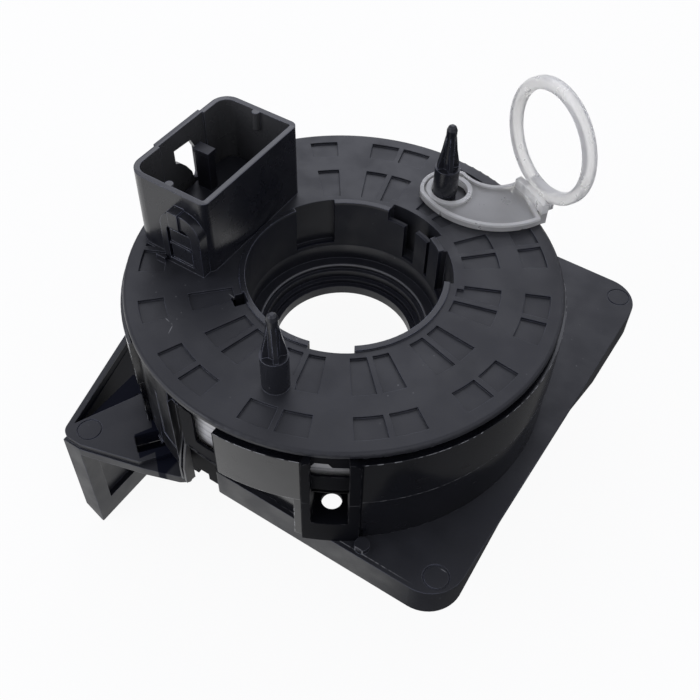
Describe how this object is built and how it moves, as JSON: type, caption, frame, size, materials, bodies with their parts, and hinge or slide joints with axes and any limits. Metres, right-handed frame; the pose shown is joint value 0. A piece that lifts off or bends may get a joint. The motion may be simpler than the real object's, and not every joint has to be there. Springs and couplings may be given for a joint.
{
  "type": "steering clock spring",
  "caption": "Steering column clock spring with a tall connector shroud, tapered driver pins, a squared base with a guide blade and a clear transport lock with a pull ring.",
  "frame": {"origin": "column axis at the lower rim of the hub's bore", "axes": "+Z along the column axis towards the steering wheel, -Y towards the base's front skirt and the cable outlet, +X towards the base's side without a wing"},
  "size_m": [0.1158, 0.1285, 0.1055],
  "materials": {
    "rotor_disc": "fine moulded grain",
    "rotor_hub": "smooth satin",
    "inner_junction": "plain",
    "contact_carrier": "plain",
    "shroud_contacts": "tinned",
    "upper_glide_sheet": "smooth film",
    "code_ring": "plain",
    "cable_case": "polished, scuffed at the rim",
    "lower_case": "polished",
    "base_plate": "fine moulded grain",
    "outlet_cover": "dusty satin",
    "outer_junction": "plain",
    "lower_glide_sheet": "smooth film",
    "flat_cable": "laminated film over flat conductors",
    "circuit_board": "solder resist",
    "board_chips": "moulded epoxy",
    "sensor_forks": "plain",
    "board_screws": "zinc plated",
    "bottom_cover": "plain",
    "header_shell": "plain",
    "header_contacts": "tinned",
    "transport_lock": "milky, slightly see-through"
  },
  "bodies": {
    "stator": {"base_plate": "base_plate", "lower_case": "lower_case", "cable_case": "cable_case", "outlet_cover": "outlet_cover", "outer_junction": "outer_junction", "lower_glide_sheet": "lower_glide_sheet", "circuit_board": "circuit_board", "board_chips": "board_chips", "sensor_forks": "sensor_forks", "board_screws": "board_screws", "bottom_cover": "bottom_cover", "header_shell": "header_shell", "header_contacts": "header_contacts"},
    "rotor": {"rotor_disc": "rotor_disc", "rotor_hub": "rotor_hub", "inner_junction": "inner_junction", "contact_carrier": "contact_carrier", "shroud_contacts": "shroud_contacts", "upper_glide_sheet": "upper_glide_sheet", "code_ring": "code_ring", "flat_cable": "flat_cable"},
    "lock": {"transport_lock": "transport_lock"}
  },
  "joints": [
    {"name": "rotor_turn", "type": "hinge", "parent": "stator", "child": "rotor", "pos_m": [0, 0, 0], "axis": [0, 0, 1], "range_deg": [-900, 900], "deforming": ["flat_cable"]},
    {"name": "lock_lift", "type": "slide", "parent": "rotor", "child": "lock", "axis": [0, 0, 1], "range_m": [0, 0.06]}
  ]
}
